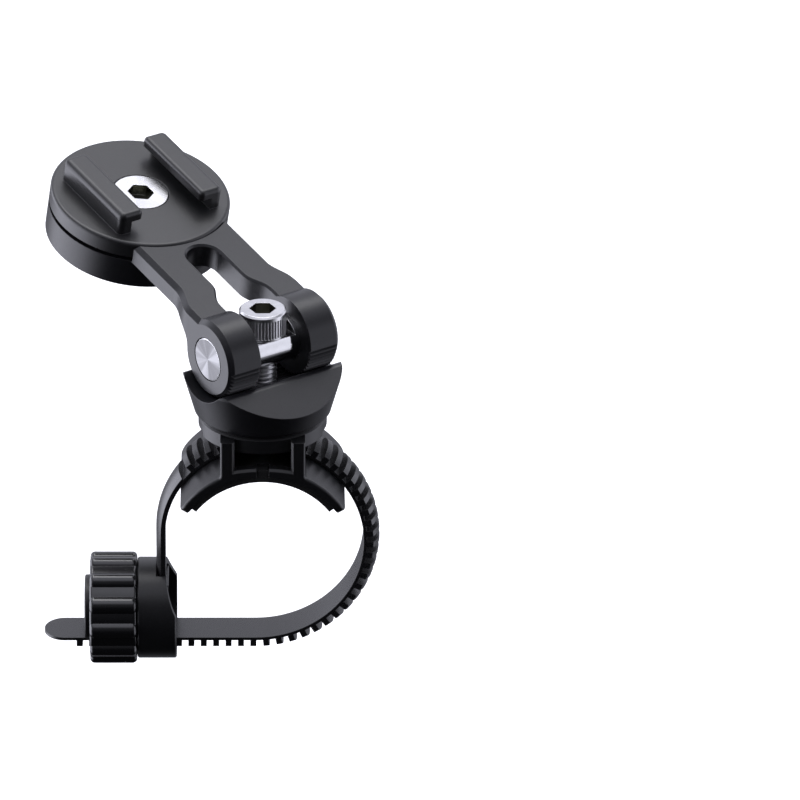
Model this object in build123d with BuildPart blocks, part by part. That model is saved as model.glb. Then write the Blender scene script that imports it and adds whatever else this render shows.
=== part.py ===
from build123d import *
from math import cos, radians, sin, sqrt, tan
import os

os.makedirs("parts", exist_ok=True)

# Bicycle phone mount, in millimetres. The origin is on the handlebar's axis, in the middle of the
# saddle. +Y runs along the bar, +X to the rider's right, +Z up through the saddle.

# ---- driving dimensions -------------------------------------------------------------------------

# handlebar, pad and saddle arch
bar_radius = 17.5
pad_thickness = 1.2
pad_length = 28.4
pad_half_angle = 53.2
arch_inner = bar_radius + pad_thickness
arch_outer = 20.5
arch_half_angle = 59.2
saddle_length = 29.0
notch_width = 2.6
notch_depth = 3.0
notch_height = 3.0
tab_play = 0.1
tab_drop = 0.3
wing_corner_radius = 2.2
wing_tip_round = 0.6

# posts, tunnel and collar
post_inner = 5.95
post_outer = 8.92
post_foot = 18.0
post_foot_fillet = 0.9
sill_top = 20.6
sill_radius = 33.0
sill_depth = 2.2
window_bevel = 0.5
tunnel_width = 10.2
tunnel_roof = 24.8
collar_radius = 13.6
collar_bottom = 23.8
tunnel_corner_gap = 1.0
collar_shoulder = 26.75
collar_top = 27.4
collar_top_radius = 13.0

# spigot, insert and swivel washer
spigot_radius = 6.0
spigot_top = 31.0
insert_radius = 4.6
insert_bottom = 25.3
insert_groove = 0.5
washer_radius = 12.6
washer_thickness = 0.42
fit_play = 0.05

# fork seat
seat_bottom = 27.9
seat_bottom_radius = 14.5
seat_rim = 38.1
seat_rim_radius = 17.25
seat_rim_round = 1.2
pivot_height = 43.15
groove_radius = 8.85
ridge_offset = 7.1
slope_angle = 33.0
serration_pitch = 7.0
serration_depth = 0.6
serration_half_share = 0.42
serration_overlap = 0.25
serration_reach = 13.0
seat_serrations = 6
seat_foot_bevel = 0.45
ridge_round = 1.8
spigot_headroom = 0.2
screw_play = 0.25

# arm, in its own directions: u along it, v across it, t up through it
arm_azimuth = 124.8
arm_pitch = 13.0
fork_radius = 8.6
fork_half_width = 14.05
fork_half_gap = 6.35
flare = (8.8, 17.2)
shaft_half_width = 11.9
slot_flare = (7.8, 15.2)
slot_half_width = 3.85
slot_end = 27.5
slot_edge_break = 0.45
shaft_top = 6.8
shaft_bottom = 1.35
boss_distance = 48.5
boss_radius = 19.35
boss_top = 2.45
boss_bottom = -4.2
boss_edge_break = 0.3
boss_neck_radius = 3.0
head_rim_gap = 0.25
neck_radius = 4.0
edge_break = 1.0
fork_serrations = (-12, 10)
spigot_recess_radius = 8.1
spigot_recess_depth = 0.8

# barrel and screws
barrel_radius = 4.75
barrel_edge_break = 0.25
barrel_flat_play = 0.4
thread_radius = 3.0
thread_root = 2.45
thread_pitch = 1.0
crest_start = 0.45
crest_end = 0.6
screw_tip = 0.4
plain_shank = 5.0
seat_gap = 0.02
screw_seat = 45.3
cap_head_radius = 5.0
cap_head_height = 6.0
cap_screw_length = 20.0
cap_head_bevel = 0.4
hex_across_flats = 5.0
pivot_socket_depth = 3.2
knurl_count = 44
knurl_bottom = 0.8
knurl_top = 1.2
knurl_offset = 0.08
knurl_size = (0.5, 0.34)

# head
head_radius = 19.35
head_top = 7.0
head_thickness = 3.6
rail_outer = 13.1
rail_inner = 7.4
rail_stem = 2.9
rail_height = 5.0
rail_lip = 2.2
rail_length = 23.0
rail_root = 0.5
rail_outer_round = 1.4
rail_inner_round = 1.0
head_edge_radius = 0.8
friction_ring_radius = 17.6
friction_ring_play = 0.05
spigot_play = 0.1
head_screw_radius = 5.9
head_screw_length = 10.0
head_screw_plain = 4.2
head_screw_edge = 0.15
head_screw_sink = 0.05
head_screw_play = 0.3
head_socket_depth = 2.6

# strap, housing and knob
strap_width = 9.1
band_thickness = 0.65
strap_total = 3.4
root_thickness = 2.0
strap_inner = 20.7
strap_lift_angle = 50.0
tooth_pitch = 2.657
tooth_root = 1.35
tooth_tip = 1.2
drum_z = -19.82
drum_radius = 10.85
drum_right = -18.4
drum_left = -26.75
tooth_tip_radius = 8.38
hub_radius = 7.33
hub_left = -36.95
knob_right = -26.85
knob_left = -36.9
knob_radius = 11.95
knob_lobes = 12
flute_depth = 0.95
thread_crest = 7.4
tail_tip = -46.75
tail_round = 4.4
last_tooth = -39.2
close_pitch = 2.46
close_pitch_angle = -22.0
first_tooth_angle = 137.0
root_angle = 142.0
root_edge = 1.0
root_bottom = -12.2
root_foot_height = 1.2
root_foot_step = 0.6
strap_play = 0.1
root_play = 0.02
drum_wall = 1.45
drum_end_wall = 1.6
drum_edge_break = 0.3
hub_core_radius = 4.4
hub_end_wall = 1.5
scoop_radius = 20.0
scoop_centre = (-0.75, -7.8)
cap_radius = 7.05
cap_thickness = 1.1
cap_peg_radius = 2.5
cap_edge_radius = 0.4
lobe_radius = 2.0
lobe_end_radius = 1.0
lobe_start_angle = 0.0
knob_end_radius = 0.7
knob_bore = 8.6
rib_count = 3
rib_root = 1.0
rib_tip = 0.8
rib_sink = 0.1

# ---- directions worked out from them --------------------------------------------------------------

azimuth = radians(arm_azimuth)
pitch = radians(arm_pitch)
along_flat = Vector(cos(azimuth), sin(azimuth), 0)
across = Vector(-sin(azimuth), cos(azimuth), 0)
along = Vector(cos(azimuth) * cos(pitch), sin(azimuth) * cos(pitch), sin(pitch))
upward = Vector(-cos(azimuth) * sin(pitch), -sin(azimuth) * sin(pitch), cos(pitch))
pivot = Vector(0, 0, pivot_height)

groove_plane = Plane(origin=pivot, x_dir=along_flat, z_dir=-across)
arm_side = Plane(origin=pivot, x_dir=along, z_dir=-across)
arm_plan = Plane(origin=pivot, x_dir=along, z_dir=upward)
head_plane = Plane(origin=pivot + along * boss_distance, x_dir=along, z_dir=upward)
head_side = Plane(origin=pivot + along * boss_distance, x_dir=across, z_dir=along)

# The strap's bottom run passes through the knob under its axis. The loop's arc leaves the saddle's
# arc at the lift angle and ends level with the run.
run_z = drum_z - (tooth_tip_radius - strap_total)
lift = radians(strap_lift_angle)
loop_radius = (strap_inner * sin(lift) - run_z) / (1 + sin(lift))
loop_centre = ((strap_inner - loop_radius) * cos(lift), (strap_inner - loop_radius) * sin(lift))


def finish(piece, name):
    """Label a finished piece and write it as its own STEP file."""
    piece.part.label = name
    export_step(piece.part, f"parts/{name}.step")


def on_circle(radius, angle, centre=(0, 0)):
    """A point on a circle, with the angle in degrees from the local +X direction."""
    return (centre[0] + radius * cos(radians(angle)), centre[1] + radius * sin(radians(angle)))


def ring_sector(inner, outer, half_angle):
    """Outline of a ring sector centred on the local +Y direction."""
    start, end = 90 - half_angle, 90 + half_angle
    ThreePointArc(on_circle(outer, start), (0, outer), on_circle(outer, end))
    Line(on_circle(outer, end), on_circle(inner, end))
    ThreePointArc(on_circle(inner, end), (0, inner), on_circle(inner, start))
    Line(on_circle(inner, start), on_circle(outer, start))


def serration(radius, angle, depth):
    """A triangle that straddles a circle, which cuts one tooth space of a row of serrations."""
    half = serration_pitch * serration_half_share
    Polyline(
        on_circle(radius, angle - half),
        on_circle(radius + depth, angle),
        on_circle(radius, angle + half),
        on_circle(radius - depth * serration_overlap, angle),
        close=True,
    )


# ---- saddle ---------------------------------------------------------------------------------------


def wing_corner(edge):
    """True for the short edges at the arch's four corners."""
    middle = edge.center()
    at_end = abs(abs(middle.Y) - saddle_length / 2) < 0.01
    return edge.geom_type == GeomType.LINE and at_end and middle.Z < arch_inner


def wing_tip(edge):
    """True for the long edges at the outer side of the arch's two ends."""
    middle = edge.center()
    tip_x, tip_z = on_circle(arch_outer, 90 - arch_half_angle)
    on_tip = abs(abs(middle.X) - tip_x) < 0.01 and abs(middle.Z - tip_z) < 0.01
    return edge.geom_type == GeomType.LINE and on_tip


def window_edge(edge):
    """True for the front and rear edges round the tunnel's mouth, beside and under the strap."""
    middle = edge.center()
    at_end = abs(abs(middle.Y) - saddle_length / 2) < 0.01
    on_post = abs(abs(middle.X) - post_inner) < 0.01 and middle.Z > arch_inner
    on_sill = edge.geom_type == GeomType.CIRCLE and abs(edge.radius - sill_radius) < 0.01
    return at_end and (on_post or on_sill)


def post_root(edge):
    """True for the corners between the posts' outer sides and the arch."""
    middle = edge.center()
    is_straight = edge.geom_type == GeomType.LINE and abs(edge.tangent_at(0).Y) > 0.99
    return is_straight and abs(abs(middle.X) - post_outer) < 0.01 and middle.Z < arch_inner


with BuildPart() as saddle_bracket:
    # Round collar, with the strap's tunnel cut through its underside.
    with BuildSketch(Plane.XZ):
        with BuildLine():
            Polyline(
                (0, collar_bottom),
                (collar_radius, collar_bottom),
                (collar_radius, collar_shoulder),
                (collar_top_radius, collar_top),
                (spigot_radius, collar_top),
                (spigot_radius, spigot_top),
                (0, spigot_top),
                close=True,
            )
        make_face()
    revolve(axis=Axis.Z)
    with BuildSketch(Plane.XY.offset(collar_bottom)):
        Rectangle(2 * (collar_radius + tunnel_corner_gap), tunnel_width)
    extrude(amount=tunnel_roof - collar_bottom, mode=Mode.SUBTRACT)

    # Arch over the pad.
    with BuildSketch(Plane.XZ):
        with BuildLine():
            ring_sector(arch_inner, arch_outer, arch_half_angle)
        make_face()
    extrude(amount=saddle_length / 2, both=True)
    fillet(edges().filter_by(wing_corner), radius=wing_corner_radius)

    # Four corner posts, and the low curved sills between the posts of each end.
    post_length = (saddle_length - tunnel_width) / 2
    with BuildSketch(Plane.XY.offset(post_foot)):
        with GridLocations(post_inner + post_outer, tunnel_width + post_length, 2, 2):
            Rectangle(post_outer - post_inner, post_length)
    extrude(amount=collar_shoulder - post_foot)
    fillet(edges().filter_by(post_root), radius=post_foot_fillet)
    for start in (-saddle_length / 2, saddle_length / 2 - sill_depth):
        with BuildSketch(Plane.XZ.offset(-start - sill_depth)):
            with Locations((0, sill_top - sill_radius)):
                Circle(sill_radius)
            with Locations((0, (arch_inner + sill_top) / 2)):
                Rectangle(2 * post_inner, sill_top - arch_inner, mode=Mode.INTERSECT)
        extrude(amount=sill_depth)
    chamfer(edges().filter_by(window_edge), length=window_bevel)
    fillet(edges().filter_by(wing_tip), radius=wing_tip_round)

    # Notches for the pad's tabs.
    with BuildSketch(Plane.XY.offset(arch_inner - tab_drop)):
        with GridLocations(0, saddle_length - notch_depth, 1, 2):
            Rectangle(notch_width, notch_depth)
    extrude(amount=notch_height, mode=Mode.SUBTRACT)

    # Seat of the threaded insert.
    with Locations((0, 0, spigot_top)):
        Hole(insert_radius, depth=spigot_top - collar_bottom)
finish(saddle_bracket, "saddle_bracket")

with BuildPart() as saddle_pad:
    with BuildSketch(Plane.XZ):
        with BuildLine():
            ring_sector(bar_radius, arch_inner, pad_half_angle)
        make_face()
    extrude(amount=pad_length / 2, both=True)
    # Tabs that stand in the arch's notches.
    tab_length = notch_depth - tab_play - (saddle_length - pad_length) / 2
    with BuildSketch(Plane.XY.offset(arch_inner - pad_thickness / 2)):
        with GridLocations(0, pad_length - tab_length, 1, 2):
            Rectangle(notch_width - 2 * tab_play, tab_length)
    extrude(amount=arch_outer - tab_drop - arch_inner + pad_thickness / 2)
finish(saddle_pad, "saddle_pad")

with BuildPart() as threaded_insert:
    with Locations((0, 0, insert_bottom)):
        Cylinder(
            insert_radius,
            spigot_top - insert_bottom,
            align=(Align.CENTER, Align.CENTER, Align.MIN),
        )
    with BuildSketch(Plane.XZ):
        with Locations((insert_radius, (insert_bottom + spigot_top) / 2)):
            Rectangle(2 * insert_groove, 2 * insert_groove)
    revolve(axis=Axis.Z, mode=Mode.SUBTRACT)
    with Locations((0, 0, spigot_top)):
        Hole(thread_radius + fit_play)
finish(threaded_insert, "threaded_insert")

with BuildPart() as swivel_washer:
    with BuildSketch(Plane.XY.offset(collar_top)):
        Circle(washer_radius)
        Circle(spigot_radius + fit_play, mode=Mode.SUBTRACT)
    extrude(amount=washer_thickness)
finish(swivel_washer, "swivel_washer")

# ---- fork seat -----------------------------------------------------------------------------------

ridge_drop = sqrt(groove_radius**2 - ridge_offset**2)
slope_reach = seat_rim_radius + 1
slope_fall = ridge_drop + (slope_reach - ridge_offset) * tan(radians(slope_angle))

with BuildPart() as fork_seat:
    with BuildSketch(Plane.XZ):
        with BuildLine():
            Polyline(
                (spigot_radius + fit_play, seat_bottom),
                (seat_bottom_radius - seat_foot_bevel, seat_bottom),
                (seat_bottom_radius, seat_bottom + seat_foot_bevel),
                (seat_rim_radius, seat_rim),
                (0, seat_rim),
                (0, spigot_top + spigot_headroom),
                (spigot_radius + fit_play, spigot_top + spigot_headroom),
                close=True,
            )
        make_face()
    revolve(axis=Axis.Z)
    fillet(edges().group_by(Axis.Z)[-1], radius=seat_rim_round)
    # The cross groove that the fork seats in, and the slopes outside its ridges.
    with BuildSketch(groove_plane):
        with BuildLine():
            ThreePointArc((-ridge_offset, -ridge_drop), (0, -groove_radius), (ridge_offset, -ridge_drop))
            Polyline(
                (ridge_offset, -ridge_drop),
                (slope_reach, -slope_fall),
                (slope_reach, 0),
                (-slope_reach, 0),
                (-slope_reach, -slope_fall),
                (-ridge_offset, -ridge_drop),
            )
        make_face()
    extrude(amount=slope_reach, both=True, mode=Mode.SUBTRACT)
    ridge_edges = edges().filter_by(Axis((0, 0, 0), across)).group_by(Axis.Z)[-1]
    fillet(ridge_edges, radius=ridge_round)
    # Serrations along the groove.
    with BuildSketch(groove_plane):
        for step in range(-seat_serrations, seat_serrations + 1):
            with BuildLine():
                serration(groove_radius, -90 + step * serration_pitch, serration_depth)
            make_face()
    extrude(amount=serration_reach, both=True, mode=Mode.SUBTRACT)
    with Locations((0, 0, pivot_height)):
        Hole(thread_radius + screw_play)
finish(fork_seat, "fork_seat")

# ---- barrel and pivot screw -----------------------------------------------------------------------

with BuildPart() as pivot_barrel:
    with BuildSketch(groove_plane):
        Circle(barrel_radius)
    extrude(amount=fork_half_width, both=True)
    chamfer(edges().filter_by(GeomType.CIRCLE), length=barrel_edge_break)
    # Flat seat for the screw's head, and the cross hole under it.
    with BuildSketch(Plane(origin=(0, 0, screw_seat), x_dir=across, z_dir=(0, 0, 1))):
        Rectangle(2 * (cap_head_radius + barrel_flat_play), 3 * barrel_radius)
    extrude(amount=barrel_radius, mode=Mode.SUBTRACT)
    with Locations((0, 0, pivot_height + barrel_radius)):
        Hole(thread_radius + screw_play)
finish(pivot_barrel, "pivot_barrel")


def thread_outline(bottom, top):
    """Half section of a threaded shank as ridges and grooves, from its tip up to its plain part."""
    points = [(0, bottom), (thread_root, bottom), (thread_root, bottom + screw_tip)]
    level = bottom + screw_tip
    while level + thread_pitch < top:
        points += [
            (thread_radius, level + crest_start * thread_pitch),
            (thread_radius, level + crest_end * thread_pitch),
            (thread_root, level + thread_pitch),
        ]
        level += thread_pitch
    return points


with BuildPart() as pivot_screw:
    with BuildSketch(Plane.XZ):
        with BuildLine():
            Polyline(
                *thread_outline(screw_seat - cap_screw_length, screw_seat - plain_shank),
                (thread_radius, screw_seat - plain_shank + screw_tip),
                (thread_radius, screw_seat + seat_gap),
                (cap_head_radius - cap_head_bevel, screw_seat + seat_gap),
                (cap_head_radius, screw_seat + seat_gap + cap_head_bevel),
                (cap_head_radius, screw_seat + cap_head_height - cap_head_bevel),
                (cap_head_radius - cap_head_bevel, screw_seat + cap_head_height),
                (0, screw_seat + cap_head_height),
                close=True,
            )
        make_face()
    revolve(axis=Axis.Z)
    # Hexagon socket.
    with BuildSketch(Plane.XY.offset(screw_seat + cap_head_height)):
        RegularPolygon(hex_across_flats / 2, 6, major_radius=False)
    extrude(amount=-pivot_socket_depth, mode=Mode.SUBTRACT)
    # Straight knurl round the head.
    with BuildSketch(Plane.XY.offset(screw_seat + knurl_bottom)):
        with PolarLocations(cap_head_radius + knurl_offset, knurl_count):
            Rectangle(*knurl_size, rotation=45)
    extrude(amount=cap_head_height - knurl_bottom - knurl_top, mode=Mode.SUBTRACT)
finish(pivot_screw, "pivot_screw")

# ---- arm ------------------------------------------------------------------------------------------


def waisted_sides(start, end, wide, narrow, curve):
    """Both long sides of an outline that narrows in an S-curve between the fork and the shaft."""
    for side in (-1, 1):
        Line((start, side * wide), (curve[0], side * wide))
        Spline((curve[0], side * wide), (curve[1], side * narrow), tangents=[(1, 0), (1, 0)])
        Line((curve[1], side * narrow), (end, side * narrow))


def arm_edge(edge):
    """True for the edges round the fork's outer sides and along the shaft's top."""
    middle = arm_plan.to_local_coords(edge.center())
    on_fork = edge.geom_type == GeomType.CIRCLE and abs(abs(middle.Y) - fork_half_width) < 0.01
    on_top = abs(middle.Z - shaft_top) < 0.01 and abs(middle.Y) > shaft_half_width - 0.1
    return on_fork or on_top


def slot_edge(edge):
    """True for the edges where the slot opens in the shaft's top."""
    middle = arm_plan.to_local_coords(edge.center())
    on_top = abs(middle.Z - shaft_top) < 0.01
    return on_top and abs(middle.Y) < fork_half_gap + 0.1 and middle.X < slot_end + 0.1


def boss_foot(edge):
    """True for the boss's lower rim."""
    on_rim = edge.geom_type == GeomType.CIRCLE and abs(edge.radius - boss_radius) < 0.01
    return on_rim and abs(head_plane.to_local_coords(edge.center()).Z - boss_bottom) < 0.01


def boss_neck(edge):
    """True for the corner between the shaft's underside and the boss's wall."""
    on_wall = edge.geom_type == GeomType.CIRCLE and abs(edge.radius - boss_radius) < 0.01
    return on_wall and abs(head_plane.to_local_coords(edge.center()).Z - shaft_bottom) < 0.01


with BuildPart() as arm:
    # Side profile: the fork's round end and the flat shaft.
    with BuildSketch(arm_side) as arm_profile:
        Circle(fork_radius)
        with Locations((boss_distance / 2, (shaft_top + shaft_bottom) / 2)):
            Rectangle(boss_distance, shaft_top - shaft_bottom)
        neck = sqrt(fork_radius**2 - shaft_bottom**2)
        fillet(vertices().sort_by_distance((neck, shaft_bottom))[0], radius=neck_radius)
    extrude(amount=fork_half_width, both=True)
    # Plan outline, kept where the side profile is.
    with BuildSketch(arm_plan.offset(-fork_radius)):
        with BuildLine():
            waisted_sides(-fork_radius, boss_distance, fork_half_width, shaft_half_width, flare)
            Line((-fork_radius, -fork_half_width), (-fork_radius, fork_half_width))
            Line((boss_distance, -shaft_half_width), (boss_distance, shaft_half_width))
        make_face()
    extrude(amount=2 * fork_radius, mode=Mode.INTERSECT)
    # Edge breaks on the fork's outer sides and along the shaft's top.
    chamfer(edges().filter_by(arm_edge), length=edge_break)

    # Boss under the head, and the step where the shaft meets the head's rim.
    with BuildSketch(head_plane.offset(boss_top)):
        Circle(head_radius + head_rim_gap)
    extrude(amount=fork_radius, mode=Mode.SUBTRACT)
    with BuildSketch(head_plane.offset(boss_bottom)):
        Circle(boss_radius)
    extrude(amount=boss_top - boss_bottom)
    chamfer(edges().filter_by(boss_foot), length=boss_edge_break)
    fillet(edges().filter_by(boss_neck), radius=boss_neck_radius)
    # Slot and fork gap.
    with BuildSketch(arm_plan.offset(-fork_radius)):
        with BuildLine():
            gap_start = -fork_radius - edge_break
            slot_straight = slot_end - slot_half_width
            waisted_sides(gap_start, slot_straight, fork_half_gap, slot_half_width, slot_flare)
            Line((gap_start, -fork_half_gap), (gap_start, fork_half_gap))
            ThreePointArc(
                (slot_straight, -slot_half_width),
                (slot_end, 0),
                (slot_straight, slot_half_width),
            )
        make_face()
    extrude(amount=2 * fork_radius, mode=Mode.SUBTRACT)
    chamfer(edges().filter_by(slot_edge), length=slot_edge_break)
    # Recess for the head's spigot, and the thread for its screw.
    with Locations(head_plane.offset(boss_top)):
        Hole(spigot_recess_radius, depth=spigot_recess_depth)
        Hole(thread_radius + fit_play, depth=2 * fork_radius)
    # Bores for the barrel, and serrations round the fork's end.
    with BuildSketch(arm_side):
        Circle(barrel_radius + fit_play)
    extrude(amount=2 * fork_half_width, both=True, mode=Mode.SUBTRACT)
    with BuildSketch(arm_side):
        for step in range(*fork_serrations):
            with BuildLine():
                serration(fork_radius, -90 - arm_pitch + step * serration_pitch, -serration_depth)
            make_face()
    extrude(amount=2 * fork_half_width, both=True, mode=Mode.SUBTRACT)
finish(arm, "arm")

# ---- head -----------------------------------------------------------------------------------------

with BuildPart() as head_friction_ring:
    with BuildSketch(head_plane.offset(boss_top)):
        Circle(friction_ring_radius)
        Circle(spigot_recess_radius + spigot_play, mode=Mode.SUBTRACT)
    extrude(amount=head_top - head_thickness - boss_top - friction_ring_play)
finish(head_friction_ring, "head_friction_ring")


def rail_edge(position):
    """A test for the rails' top edges this far from the middle, and for the upright ones there."""

    def test(edge):
        middle = head_plane.to_local_coords(edge.center())
        on_line = abs(abs(middle.Y) - position) < 0.01
        on_top = abs(middle.Z - head_top - rail_height) < 0.01
        is_upright = abs(edge.tangent_at(0).dot(upward)) > 0.99 and middle.Z > head_top
        return on_line and (on_top or is_upright)

    return test


def rail_end(edge):
    """True for the top edges across a rail's ends."""
    middle = head_plane.to_local_coords(edge.center())
    on_top = abs(middle.Z - head_top - rail_height) < 0.01
    return on_top and abs(abs(middle.X) - rail_length / 2) < 0.01


with BuildPart() as head_disc:
    with BuildSketch(head_plane.offset(head_top - head_thickness)):
        Circle(head_radius)
    extrude(amount=head_thickness)
    rim_edges = edges().filter_by(GeomType.CIRCLE)
    fillet(rim_edges.sort_by(Axis(pivot, upward))[-1], radius=head_edge_radius)
    # Two rails with lips that face each other.
    for side in (-1, 1):
        with BuildSketch(head_side):
            with BuildLine():
                Polyline(
                    (side * rail_outer, head_top - rail_root),
                    (side * rail_outer, head_top + rail_height),
                    (side * rail_inner, head_top + rail_height),
                    (side * rail_inner, head_top + rail_height - rail_lip),
                    (side * (rail_outer - rail_stem), head_top + rail_height - rail_lip),
                    (side * (rail_outer - rail_stem), head_top - rail_root),
                    close=True,
                )
            make_face()
        extrude(amount=rail_length / 2, both=True)
    fillet(edges().filter_by(rail_edge(rail_outer)), radius=rail_outer_round)
    fillet(edges().filter_by(rail_edge(rail_inner)) + edges().filter_by(rail_end), radius=rail_inner_round)
    # Spigot under the disc, and the countersunk hole.
    with BuildSketch(head_plane.offset(boss_top - spigot_recess_depth + spigot_play)):
        Circle(spigot_recess_radius - fit_play)
    extrude(amount=head_top - head_thickness - boss_top + spigot_recess_depth)
    with Locations(head_plane.offset(head_top)):
        CounterSinkHole(
            thread_radius + head_screw_play,
            head_screw_radius + head_screw_play,
            depth=2 * head_top,
            counter_sink_angle=90,
        )
finish(head_disc, "head_disc")

with BuildPart() as head_screw:
    with BuildSketch(Plane(origin=head_plane.origin, x_dir=along, z_dir=-across)):
        with BuildLine():
            Polyline(
                *thread_outline(head_top - head_screw_length, head_top - head_screw_plain),
                (thread_radius, head_top - head_screw_plain + screw_tip),
                (thread_radius, head_top - head_screw_edge - head_screw_radius + thread_radius),
                (head_screw_radius, head_top - head_screw_edge),
                (head_screw_radius, head_top - head_screw_sink),
                (0, head_top - head_screw_sink),
                close=True,
            )
        make_face()
    revolve(axis=Axis(head_plane.origin, upward))
    with BuildSketch(head_plane.offset(head_top)):
        RegularPolygon(hex_across_flats / 2, 6, major_radius=False)
    extrude(amount=-head_socket_depth, mode=Mode.SUBTRACT)
finish(head_screw, "head_screw")

# ---- strap ----------------------------------------------------------------------------------------

band_middle = band_thickness / 2
run_length = loop_centre[0] - last_tooth
loop_length = (radians(90) + lift) * (loop_radius + band_middle)


def strap_station(distance):
    """Section plane at a distance along the strap from its last tooth: local X is across the
    strap and local Y points out of the teeth."""
    if distance < run_length:
        spot = (last_tooth + distance, 0, run_z)
        outward = Vector(0, 0, -1)
    elif distance < run_length + loop_length:
        angle = (distance - run_length) / (loop_radius + band_middle) - radians(90)
        outward = Vector(cos(angle), 0, sin(angle))
        spot = Vector(loop_centre[0], 0, loop_centre[1]) + outward * loop_radius
    else:
        angle = (distance - run_length - loop_length) / (strap_inner + band_middle) + lift
        outward = Vector(cos(angle), 0, sin(angle))
        spot = outward * strap_inner
    return Plane(origin=spot, x_dir=(0, 1, 0), z_dir=Vector(0, 1, 0).cross(outward))


toothed_length = (
    run_length + loop_length + (radians(first_tooth_angle) - lift) * (strap_inner + band_middle)
)
close_pitch_start = run_length + radians(90 + close_pitch_angle) * (loop_radius + band_middle)
edge_height = sqrt(tooth_tip_radius**2 - (strap_width / 2) ** 2) - tooth_tip_radius + strap_total

with BuildPart() as tooth:
    with BuildSketch(Plane.XY):
        with BuildLine():
            Polyline(
                (strap_width / 2, edge_height),
                (strap_width / 2, band_middle),
                (-strap_width / 2, band_middle),
                (-strap_width / 2, edge_height),
            )
            ThreePointArc(
                (-strap_width / 2, edge_height),
                (0, strap_total),
                (strap_width / 2, edge_height),
            )
        make_face()
    extrude(amount=(tooth_root + tooth_tip) / 4, both=True)

with BuildPart() as toothed_strap:
    # Band: over the saddle, round the bar's far side and back along the bottom run.
    with BuildSketch(Plane.XZ):
        with BuildLine():
            for height in (0, band_thickness):
                saddle_arc = strap_inner + height
                loop_arc = loop_radius + height
                ThreePointArc(
                    on_circle(saddle_arc, root_angle),
                    (0, saddle_arc),
                    on_circle(saddle_arc, strap_lift_angle),
                )
                ThreePointArc(
                    on_circle(saddle_arc, strap_lift_angle),
                    on_circle(loop_arc, close_pitch_angle, loop_centre),
                    (loop_centre[0], run_z - height),
                )
                Line((loop_centre[0], run_z - height), (tail_tip, run_z - height))
            Line((tail_tip, run_z), (tail_tip, run_z - band_thickness))
            Line(on_circle(strap_inner, root_angle), on_circle(strap_inner + band_thickness, root_angle))
        make_face()
    extrude(amount=strap_width / 2, both=True)
    # Round end of the tail.
    with BuildSketch(Plane.XY.offset(run_z - 2 * band_thickness)):
        with Locations((tail_tip, 0)):
            Rectangle(2 * tail_round, 2 * strap_width)
        with Locations((tail_tip + tail_round, 0)):
            Ellipse(tail_round, strap_width / 2, mode=Mode.SUBTRACT)
    extrude(amount=3 * band_thickness, mode=Mode.SUBTRACT)
    # Smooth crowned root, from the saddle down into the housing.
    with BuildSketch(Plane.XY) as root_section:
        with BuildLine():
            Polyline(
                (-strap_inner - root_edge, strap_width / 2),
                (-strap_inner, strap_width / 2),
                (-strap_inner, -strap_width / 2),
                (-strap_inner - root_edge, -strap_width / 2),
            )
            ThreePointArc(
                (-strap_inner - root_edge, -strap_width / 2),
                (-strap_inner - root_thickness, 0),
                (-strap_inner - root_edge, strap_width / 2),
            )
        make_face()
    revolve(axis=Axis.Y, revolution_arc=180 - root_angle)
    extrude(root_section.sketch, amount=root_bottom)
    # Foot that keeps the root in the housing.
    with BuildSketch(Plane.XY.offset(root_bottom)):
        with Locations((-strap_inner - root_thickness / 2, 0)):
            Rectangle(root_thickness + 2 * root_foot_step, strap_width)
    extrude(amount=-root_foot_height)
    # Teeth, closer together up the loop and over the saddle.
    distance = 0.0
    while distance < toothed_length:
        with Locations(strap_station(distance)):
            add(tooth.part)
        distance += tooth_pitch if distance < close_pitch_start else close_pitch
finish(toothed_strap, "toothed_strap")

# ---- housing and knob -----------------------------------------------------------------------------

drum_axis = Axis((0, 0, drum_z), (1, 0, 0))


def hub_section(radius):
    """D-shaped section of the hub, flat over the strap."""
    with Locations((0, drum_z)):
        Circle(radius)
    with Locations((0, run_z + strap_play - radius)):
        Rectangle(2 * radius, 2 * radius, mode=Mode.SUBTRACT)


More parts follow.
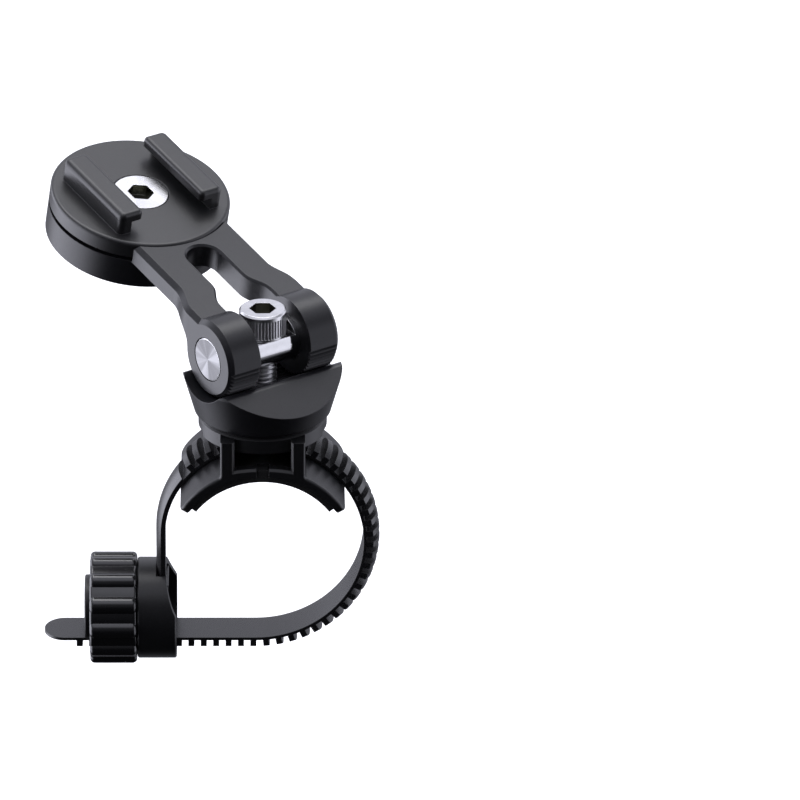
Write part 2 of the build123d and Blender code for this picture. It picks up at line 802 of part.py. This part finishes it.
with BuildPart() as buckle_housing:
    with BuildSketch(Plane.YZ.offset(drum_left)):
        with Locations((0, drum_z)):
            Circle(drum_radius)
    extrude(amount=drum_right - drum_left)
    chamfer(edges().filter_by(GeomType.CIRCLE), length=drum_edge_break)
    # Hollow of the drum.
    with BuildSketch(Plane.YZ.offset(drum_left + drum_end_wall)):
        with Locations((0, drum_z)):
            Circle(drum_radius - drum_wall)
    extrude(amount=drum_right - drum_left, mode=Mode.SUBTRACT)
    # Hub that carries the knob, cored from the drum's side.
    with BuildSketch(Plane.YZ.offset(drum_left + drum_end_wall)):
        hub_section(hub_radius)
    extrude(amount=hub_left - drum_left - drum_end_wall)
    with BuildSketch(Plane.YZ.offset(drum_left + drum_end_wall)):
        with Locations((0, drum_z)):
            Circle(hub_core_radius)
    extrude(amount=hub_left + hub_end_wall - drum_left - drum_end_wall, mode=Mode.SUBTRACT)
    with BuildSketch(Plane.YZ.offset(hub_left)):
        with Locations((0, drum_z)):
            Circle(cap_peg_radius)
    extrude(amount=hub_end_wall, mode=Mode.SUBTRACT)
    # Curved scoop on the bar's side.
    with BuildSketch(Plane.XZ):
        with Locations(scoop_centre):
            Circle(scoop_radius)
    extrude(amount=2 * drum_radius, both=True, mode=Mode.SUBTRACT)
    # Way through for the strap's toothed run, and the mouth for its root.
    with BuildSketch(Plane.YZ.offset(drum_left)):
        with Locations((0, run_z + strap_play - strap_total / 2)):
            Rectangle(strap_width + 2 * strap_play, strap_total + 2 * strap_play)
    extrude(amount=drum_end_wall, mode=Mode.SUBTRACT)
    with BuildSketch(Plane.XY.offset(drum_z)):
        with Locations((-strap_inner - root_thickness / 2, 0)):
            Rectangle(root_thickness + 2 * root_play, strap_width + 2 * root_play)
    extrude(amount=2 * drum_radius, mode=Mode.SUBTRACT)
finish(buckle_housing, "buckle_housing")

with BuildPart() as hub_end_cap:
    with BuildSketch(Plane.YZ.offset(hub_left)):
        hub_section(cap_radius)
    extrude(amount=-cap_thickness)
    fillet(faces().sort_by(Axis.X)[0].edges(), radius=cap_edge_radius)
    with BuildSketch(Plane.YZ.offset(hub_left)):
        with Locations((0, drum_z)):
            Circle(cap_peg_radius)
    extrude(amount=hub_end_wall)
finish(hub_end_cap, "hub_end_cap")

with BuildPart() as knob_lobe:
    with BuildSketch(Plane.XY):
        Circle(lobe_radius)
    extrude(amount=knob_right - knob_left)
    fillet(edges().filter_by(GeomType.CIRCLE), radius=lobe_end_radius)

with BuildPart() as tension_knob:
    # Body with eased ends, and the grip lobes round it.
    with BuildSketch(Plane.YZ.offset(knob_left)):
        with Locations((0, drum_z)):
            Circle(knob_radius - flute_depth)
    extrude(amount=knob_right - knob_left)
    fillet(edges().filter_by(GeomType.CIRCLE), radius=knob_end_radius)
    with Locations(Plane(origin=(knob_left, 0, drum_z), x_dir=(0, 1, 0), z_dir=(1, 0, 0))):
        with PolarLocations(knob_radius - lobe_radius, knob_lobes, start_angle=lobe_start_angle):
            add(knob_lobe.part)
    # Bore, and the ribs that stand between the strap's teeth.
    with BuildSketch(Plane.YZ.offset(knob_left)):
        with Locations((0, drum_z)):
            Circle(knob_bore)
    extrude(amount=knob_right - knob_left, mode=Mode.SUBTRACT)
    first_rib = last_tooth + 1.5 * tooth_pitch
    with BuildSketch(Plane.XZ):
        for index in range(rib_count):
            middle = first_rib + index * tooth_pitch
            with BuildLine():
                Polyline(
                    (middle - rib_root / 2, drum_z + knob_bore + rib_sink),
                    (middle - rib_tip / 2, drum_z + thread_crest),
                    (middle + rib_tip / 2, drum_z + thread_crest),
                    (middle + rib_root / 2, drum_z + knob_bore + rib_sink),
                    close=True,
                )
            make_face()
    revolve(axis=drum_axis)
finish(tension_knob, "tension_knob")
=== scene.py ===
import math
import bpy
from mathutils import Matrix, Vector


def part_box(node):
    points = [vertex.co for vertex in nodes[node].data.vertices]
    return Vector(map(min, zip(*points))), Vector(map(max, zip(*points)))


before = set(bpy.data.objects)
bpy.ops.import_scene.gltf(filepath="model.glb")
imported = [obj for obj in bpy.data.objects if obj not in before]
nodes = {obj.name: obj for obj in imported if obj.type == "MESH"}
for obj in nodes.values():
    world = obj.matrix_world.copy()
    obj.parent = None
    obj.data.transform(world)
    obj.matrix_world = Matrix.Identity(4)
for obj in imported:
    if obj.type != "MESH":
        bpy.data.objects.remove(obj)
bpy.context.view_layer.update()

MM = 0.001

# The model's driving dimensions that the materials follow, in millimetres, and the arm's directions.
PIVOT = Vector((0, 0, 43.15))
AZIMUTH = math.radians(124.8)
PITCH = math.radians(13.0)
ALONG = Vector((math.cos(AZIMUTH) * math.cos(PITCH), math.sin(AZIMUTH) * math.cos(PITCH), math.sin(PITCH)))
ACROSS = Vector((-math.sin(AZIMUTH), math.cos(AZIMUTH), 0))
UPWARD = ALONG.cross(ACROSS)
BOSS_DISTANCE = 48.5
# From a screw's axis to just beyond the corners of its 5 mm hexagon socket.
SOCKET_REACH = 2.95

# ---- camera ---------------------------------------------------------------------------------------

ELEVATION = math.radians(26.44)
DISTANCE = 1.5
SENSOR_WIDTH = 36
# How much the picture spans at the object, and how far the object stands to the left of its middle.
SPAN = 169.06 * MM
OBJECT_OFFSET = 29.015 * MM
LOOK_AT = Vector((0, 0, 29.75 * MM))


def make_camera():
    """A long lens that looks down on the object and a little to its right, so it stands at the left."""
    ahead = Vector((0, math.cos(ELEVATION), -math.sin(ELEVATION)))
    up = Vector((0, math.sin(ELEVATION), math.cos(ELEVATION)))
    right = ahead.cross(up)
    turn = math.atan(OBJECT_OFFSET / DISTANCE)
    view = ahead * math.cos(turn) + right * math.sin(turn)
    side = view.cross(up)
    data = bpy.data.cameras.new("camera")
    data.sensor_width = SENSOR_WIDTH
    data.lens = SENSOR_WIDTH * DISTANCE / SPAN
    data.clip_end = 50
    camera = bpy.data.objects.new("camera", data)
    camera.matrix_world = Matrix((side, up, -view)).transposed().to_4x4()
    camera.location = LOOK_AT - ahead * DISTANCE
    bpy.context.scene.collection.objects.link(camera)
    bpy.context.scene.camera = camera


# ---- node helpers ---------------------------------------------------------------------------------


class Graph:
    """A small wrapper that adds nodes to a material's or a world's tree."""

    def __init__(self, owner):
        owner.use_nodes = True
        self.tree = owner.node_tree

    def add(self, kind, **settings):
        node = self.tree.nodes.new(kind)
        for key, value in settings.items():
            setattr(node, key, value)
        return node

    def put(self, socket, value):
        """Connects an output to an input, or sets the input to a constant."""
        if isinstance(value, bpy.types.NodeSocket):
            self.tree.links.new(value, socket)
        else:
            socket.default_value = value

    def math(self, operation, *values):
        node = self.add("ShaderNodeMath", operation=operation)
        for socket, value in zip(node.inputs, values):
            self.put(socket, value)
        return node.outputs[0]

    def vector(self, operation, *values, output=0):
        node = self.add("ShaderNodeVectorMath", operation=operation)
        for socket, value in zip(node.inputs, values):
            self.put(socket, value)
        return node.outputs[output]

    def scale(self, vector, factor):
        node = self.add("ShaderNodeVectorMath", operation="SCALE")
        self.put(node.inputs[0], vector)
        self.put(node.inputs["Scale"], factor)
        return node.outputs[0]

    def ramp(self, value, low, high, to_low, to_high, smooth=True):
        """Maps one range of a value to another, and holds the ends. A smooth ramp has soft ends."""
        node = self.add("ShaderNodeMapRange")
        node.interpolation_type = "SMOOTHSTEP" if smooth else "LINEAR"
        for socket, item in zip(node.inputs, (value, low, high, to_low, to_high)):
            self.put(socket, item)
        return node.outputs[0]

    def noise(self, coordinates, scale, detail, roughness=0.55):
        node = self.add("ShaderNodeTexNoise")
        self.put(node.inputs["Vector"], coordinates)
        node.inputs["Scale"].default_value = scale
        node.inputs["Detail"].default_value = detail
        node.inputs["Roughness"].default_value = roughness
        return node.outputs["Fac"]

    def mix(self, factor, first, second):
        node = self.add("ShaderNodeMix", data_type="RGBA")
        for socket, value in zip((node.inputs[0], node.inputs[6], node.inputs[7]), (factor, first, second)):
            if isinstance(value, tuple) and len(value) == 3:
                value = (*value, 1)
            self.put(socket, value)
        return node.outputs[2]


# ---- stage ----------------------------------------------------------------------------------------

# The floor's distance below the strap and its half width, in metres, and how strongly it glows.
FLOOR_DROP = 0.09
FLOOR_REACH = 6.0
FLOOR_GLOW = 0.45

# Strengths of the world's lights. The front's is given low down and high up.
FRONT_LIGHT = (0.015, 0.12)
BACK_LIGHT = 0.9
LEFT_LIGHT = 3.4
RIGHT_LIGHT = 1.5
TOP_LIGHT = 0.9
STUDIO_TINT = (0.93, 0.94, 1.06)


def area_light(name, place, target, size, power):
    data = bpy.data.lights.new(name, "AREA")
    data.shape = "RECTANGLE"
    data.size = size[0]
    data.size_y = size[1]
    data.energy = power
    lamp = bpy.data.objects.new(name, data)
    lamp.location = place
    lamp.rotation_euler = (Vector(target) - Vector(place)).to_track_quat("-Z", "Y").to_euler()
    lamp.visible_camera = False
    bpy.context.scene.collection.objects.link(lamp)


def make_floor():
    mesh = bpy.data.meshes.new("floor")
    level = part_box("toothed_strap")[0].z - FLOOR_DROP
    corners = [(x * FLOOR_REACH, y * FLOOR_REACH, level) for x, y in ((-1, -1), (1, -1), (1, 1), (-1, 1))]
    mesh.from_pydata(corners, [], [(0, 1, 2, 3)])
    floor = bpy.data.objects.new("floor", mesh)
    bpy.context.scene.collection.objects.link(floor)
    paint = bpy.data.materials.new("floor")
    graph = Graph(paint)
    shader = graph.tree.nodes["Principled BSDF"]
    shader.inputs["Base Color"].default_value = (0.92, 0.92, 0.92, 1)
    shader.inputs["Roughness"].default_value = 0.9
    shader.inputs["Emission Color"].default_value = (1, 1, 1, 1)
    shader.inputs["Emission Strength"].default_value = FLOOR_GLOW
    mesh.materials.append(paint)
    floor.visible_glossy = False
    floor.visible_diffuse = False


def make_world():
    """A white studio: bright behind the object, above it and at its sides, and dim in front of it.

    Each ramp runs over one part of a unit direction: x to the right, y away from the viewer, z up.
    """
    world = bpy.data.worlds.new("world")
    bpy.context.scene.world = world
    graph = Graph(world)
    background = graph.tree.nodes["Background"]
    direction = graph.add("ShaderNodeTexCoord").outputs["Generated"]
    split = graph.add("ShaderNodeSeparateXYZ")
    graph.put(split.inputs[0], direction)
    x, y, z = split.outputs

    # The dim light grows upwards. The light behind is weaker low down.
    front = graph.ramp(z, -0.2, 0.6, *FRONT_LIGHT)
    behind = graph.ramp(y, 0.05, 0.8, 0.0, BACK_LIGHT)
    behind = graph.math("MULTIPLY", behind, graph.ramp(z, -0.45, 0.35, 0.3, 1.0))

    # The side lights fade towards the front, upwards, and straight down.
    left = graph.ramp(x, -0.5, -0.9, 0.0, LEFT_LIGHT)
    right = graph.ramp(x, 0.6, 0.95, 0.0, RIGHT_LIGHT)
    away_from_front = graph.ramp(y, -0.8, -0.1, 0.0, 1.0)
    not_straight_down = graph.ramp(z, -0.95, -0.55, 0.3, 1.0)
    level = graph.math("MULTIPLY", away_from_front, not_straight_down)
    level = graph.math("MULTIPLY", level, graph.ramp(z, 0.25, 0.6, 1.0, 0.1))
    sides = graph.math("MULTIPLY", graph.math("ADD", left, right), level)

    above = graph.ramp(z, 0.6, 0.9, 0.0, TOP_LIGHT)
    behind = graph.math("ADD", graph.math("MAXIMUM", front, behind), above)
    total = graph.math("ADD", behind, sides)

    # Seen directly the world is white. The light it gives is a little blue.
    path = graph.add("ShaderNodeLightPath").outputs["Is Camera Ray"]
    graph.put(background.inputs["Strength"], graph.math("MAXIMUM", total, path))
    graph.put(background.inputs["Color"], graph.mix(path, STUDIO_TINT, (1.0, 1.0, 1.0)))


# ---- materials ------------------------------------------------------------------------------------

# How far the mottling takes a moulded colour from its mean, as a share of it.
MOTTLE = 0.264


def base_material(name):
    """A new material with its graph, its shader, and the place on the object in millimetres."""
    material = bpy.data.materials.new(name)
    graph = Graph(material)
    place = graph.scale(graph.add("ShaderNodeTexCoord").outputs["Object"], 1 / MM)
    return material, graph, graph.tree.nodes["Principled BSDF"], place


def rounded_edges(graph, radius, spread):
    """A normal rounded at the edges, and a mask that is 1 where it turns away from the face."""
    bevel = graph.add("ShaderNodeBevel", samples=6)
    bevel.inputs["Radius"].default_value = radius * MM
    flat = graph.add("ShaderNodeNewGeometry").outputs["Normal"]
    agree = graph.vector("DOT_PRODUCT", bevel.outputs[0], flat, output="Value")
    return bevel.outputs[0], graph.ramp(agree, 1.0, 1.0 - spread, 0.0, 1.0)


def bump(graph, height, distance, normal):
    node = graph.add("ShaderNodeBump")
    node.inputs["Strength"].default_value = 1.0
    node.inputs["Distance"].default_value = distance * MM
    graph.put(node.inputs["Height"], height)
    graph.put(node.inputs["Normal"], normal)
    return node.outputs[0]


def moulded(name, colour, edge_colour, roughness, specular, grain, depth, edge_radius=0.3):
    """Moulded plastic, rubber or anodised metal: fine grain, faint mottling, and edges lighter partly from
    rubbing and partly as a painted highlight.
    """
    material, graph, shader, place = base_material(name)
    normal, edge = rounded_edges(graph, edge_radius, 0.14)
    mottle = graph.noise(place, 0.16, 4.0)
    fine = graph.noise(place, grain, 2.0, 0.6)
    scuff = graph.ramp(graph.noise(place, 0.9, 6.0, 0.7), 0.5, 0.72, 0.0, 1.0)
    light = tuple(c * (1 + MOTTLE) for c in colour)
    dark = tuple(c * (1 - MOTTLE) for c in colour)
    body = graph.mix(mottle, dark, light)
    # The edges are lighter: partly rubbed wear, partly a painted highlight along the rounded edges.
    wear_and_highlight_mask = graph.math("MULTIPLY", edge, graph.ramp(scuff, 0.0, 1.0, 0.35, 1.0, smooth=False))
    graph.put(shader.inputs["Base Color"], graph.mix(wear_and_highlight_mask, body, edge_colour))
    rough = graph.ramp(fine, 0.3, 0.7, roughness - 0.05, roughness + 0.05, smooth=False)
    rough = graph.math("ADD", rough, graph.math("MULTIPLY", scuff, 0.05))
    graph.put(shader.inputs["Roughness"], graph.math("SUBTRACT", rough, graph.math("MULTIPLY", edge, 0.06)))
    shader.inputs["Specular IOR Level"].default_value = specular
    graph.put(shader.inputs["Normal"], bump(graph, fine, depth, normal))
    return material


def turned_metal(
    name, colour, end_colour, roughness, end_roughness, anisotropy, centre, axis, streak, depth,
    painted_fan=0.2, socket=None,
):
    """Bare metal turned on a lathe: polished round its axis, with fine circles across its ends and a
    painted highlight along its edges.

    The centre is a point on the axis. The fan is how strongly a painted fan of reflections, lighter and
    darker sectors round the axis, shows in the ends' colour together with the fine circles. A socket is the
    reach along the axis, in millimetres, where the inside of a hexagon socket is painted dark as shade.
    """
    material, graph, shader, place = base_material(name)
    normal, edge = rounded_edges(graph, 0.15, 0.2)
    from_centre = graph.vector("SUBTRACT", place, tuple(centre))
    along = graph.vector("DOT_PRODUCT", from_centre, tuple(axis), output="Value")
    radial = graph.vector("SUBTRACT", from_centre, graph.scale(tuple(axis), along))
    flat = graph.add("ShaderNodeNewGeometry").outputs["Normal"]
    facing = graph.math("ABSOLUTE", graph.vector("DOT_PRODUCT", flat, tuple(axis), output="Value"))
    is_end = graph.ramp(facing, 0.8, 0.95, 0.0, 1.0)
    distance = graph.vector("LENGTH", radial, output="Value")
    # Painted reflection: the ends are lighter and darker by sectors round the axis, as a fan of
    # reflections.
    reflection_sector = graph.noise(graph.vector("NORMALIZE", radial), 1.4, 2.0)
    reflection_sector = graph.ramp(reflection_sector, 0.36, 0.64, 0.62, 1.3)
    ring_place = graph.add("ShaderNodeCombineXYZ")
    graph.put(ring_place.inputs[0], distance)
    rings = graph.noise(ring_place.outputs[0], streak, 3.0, 0.7)
    smudge = graph.noise(place, 0.5, 4.0)
    smudged = graph.ramp(smudge, 0.35, 0.7, 0.0, 1.0)
    side_tint = graph.mix(smudged, tuple(c * 0.94 for c in colour), colour)
    streaks = graph.ramp(rings, 0.3, 0.7, 0.7, 1.2, smooth=False)
    circles_and_painted_fan = graph.math("MULTIPLY", streaks, graph.math("MULTIPLY", reflection_sector, painted_fan))
    circles_and_painted_fan = graph.math("ADD", circles_and_painted_fan, 1.0 - painted_fan)
    end_tint = graph.scale(end_colour, circles_and_painted_fan)
    # Painted highlight: the edges are painted brighter than the metal.
    edge_highlight = tuple(min(1.0, c * 1.15) for c in colour)
    tint = graph.mix(edge, graph.mix(is_end, side_tint, end_tint), edge_highlight)
    rough = graph.ramp(is_end, 0.0, 1.0, roughness, end_roughness, smooth=False)
    # Painted shade: the inside of the hexagon socket is painted dark.
    if socket:
        inside = graph.math("LESS_THAN", distance, SOCKET_REACH)
        inside = graph.math("MULTIPLY", inside, graph.math("GREATER_THAN", along, socket[0]))
        inside = graph.math("MULTIPLY", inside, graph.math("LESS_THAN", along, socket[1]))
        socket_shade = graph.mix(smudge, (0.14, 0.14, 0.12), (0.42, 0.42, 0.37))
        tint = graph.mix(inside, tint, socket_shade)
        is_end = graph.math("MULTIPLY", is_end, graph.math("SUBTRACT", 1.0, inside))
    graph.put(shader.inputs["Base Color"], tint)
    rough = graph.math("ADD", rough, graph.math("MULTIPLY", graph.math("SUBTRACT", rings, 0.5), 0.08))
    graph.put(shader.inputs["Roughness"], graph.math("ADD", rough, graph.math("MULTIPLY", smudge, 0.03)))
    shader.inputs["Metallic"].default_value = 1.0
    shader.inputs["Anisotropic"].default_value = anisotropy
    tangent = graph.vector("NORMALIZE", graph.vector("CROSS_PRODUCT", tuple(axis), radial))
    graph.put(shader.inputs["Tangent"], tangent)
    height = graph.math("MULTIPLY", rings, is_end)
    graph.put(shader.inputs["Normal"], bump(graph, height, depth, normal))
    return material


def make_materials():
    """The materials by their slots' names."""
    head_place = PIVOT + ALONG * BOSS_DISTANCE
    # Edge colour: lighter for wear and as a painted edge highlight.
    edge_wear_and_highlight = (0.07, 0.07, 0.075)
    brass = (0.62, 0.47, 0.20)
    steel = (0.74, 0.74, 0.75)
    return {
        "black_nylon": moulded(
            "black_nylon", (0.011, 0.011, 0.012), edge_wear_and_highlight,
            roughness=0.36, specular=0.48, grain=5.0, depth=0.004, edge_radius=0.15,
        ),
        "pad_rubber": moulded(
            "pad_rubber", (0.010, 0.010, 0.010), (0.02, 0.02, 0.02),
            roughness=0.7, specular=0.4, grain=3.5, depth=0.03,
        ),
        "insert_brass": turned_metal(
            "insert_brass", brass, brass,
            roughness=0.25, end_roughness=0.3, anisotropy=0.3,
            centre=(0, 0, 28), axis=(0, 0, 1), streak=6.0, depth=0.01,
        ),
        "washer_nylon": moulded(
            "washer_nylon", (0.012, 0.012, 0.012), edge_wear_and_highlight,
            roughness=0.5, specular=0.5, grain=4.0, depth=0.01,
        ),
        "black_anodised": moulded(
            "black_anodised", (0.012, 0.012, 0.014), (0.04, 0.04, 0.044),
            roughness=0.32, specular=0.48, grain=9.0, depth=0.005, edge_radius=0.15,
        ),
        # The barrel's ends are painted far darker than its sides as shade, with the full painted fan of
        # reflections.
        "brushed_barrel": turned_metal(
            "brushed_barrel", (0.86, 0.86, 0.87), (0.22, 0.22, 0.225),
            roughness=0.07, end_roughness=0.3, anisotropy=0.7,
            centre=PIVOT, axis=ACROSS, streak=9.0, depth=0.006, painted_fan=1.0,
        ),
        "pivot_steel": turned_metal(
            "pivot_steel", steel, steel,
            roughness=0.28, end_roughness=0.2, anisotropy=0.3,
            centre=PIVOT, axis=(0, 0, 1), streak=7.0, depth=0.002, socket=(4.5, 8.05),
        ),
        "head_steel": turned_metal(
            "head_steel", steel, steel,
            roughness=0.14, end_roughness=0.22, anisotropy=0.3,
            centre=head_place, axis=UPWARD, streak=7.0, depth=0.002, socket=(3.0, 6.9),
        ),
        "black_composite": moulded(
            "black_composite", (0.014, 0.014, 0.015), edge_wear_and_highlight,
            roughness=0.36, specular=0.62, grain=6.0, depth=0.006, edge_radius=0.2,
        ),
        "strap_nylon": moulded(
            "strap_nylon", (0.012, 0.012, 0.013), edge_wear_and_highlight,
            roughness=0.29, specular=0.62, grain=4.0, depth=0.002, edge_radius=0.1,
        ),
        "knob_nylon": moulded(
            "knob_nylon", (0.007, 0.007, 0.008), edge_wear_and_highlight,
            roughness=0.2, specular=0.9, grain=6.0, depth=0.002, edge_radius=0.12,
        ),
    }


SLOT_OF_NODE = {
    "saddle_bracket": "black_nylon",
    "saddle_pad": "pad_rubber",
    "threaded_insert": "insert_brass",
    "swivel_washer": "washer_nylon",
    "fork_seat": "black_anodised",
    "pivot_barrel": "brushed_barrel",
    "pivot_screw": "pivot_steel",
    "arm": "black_anodised",
    "head_friction_ring": "pad_rubber",
    "head_disc": "black_composite",
    "head_screw": "head_steel",
    "toothed_strap": "strap_nylon",
    "buckle_housing": "black_nylon",
    "hub_end_cap": "black_nylon",
    "tension_knob": "knob_nylon",
}

# ---- build ----------------------------------------------------------------------------------------

make_camera()
make_floor()
make_world()
area_light("top_light", place=(0.0, 0.35, 1.0), target=(0, 0, 0.02), size=(0.9, 0.7), power=5.0)
bpy.context.scene.view_settings.view_transform = "Standard"

materials = make_materials()
for name, slot in SLOT_OF_NODE.items():
    for material_slot in nodes[name].material_slots:
        material_slot.material = materials[slot]
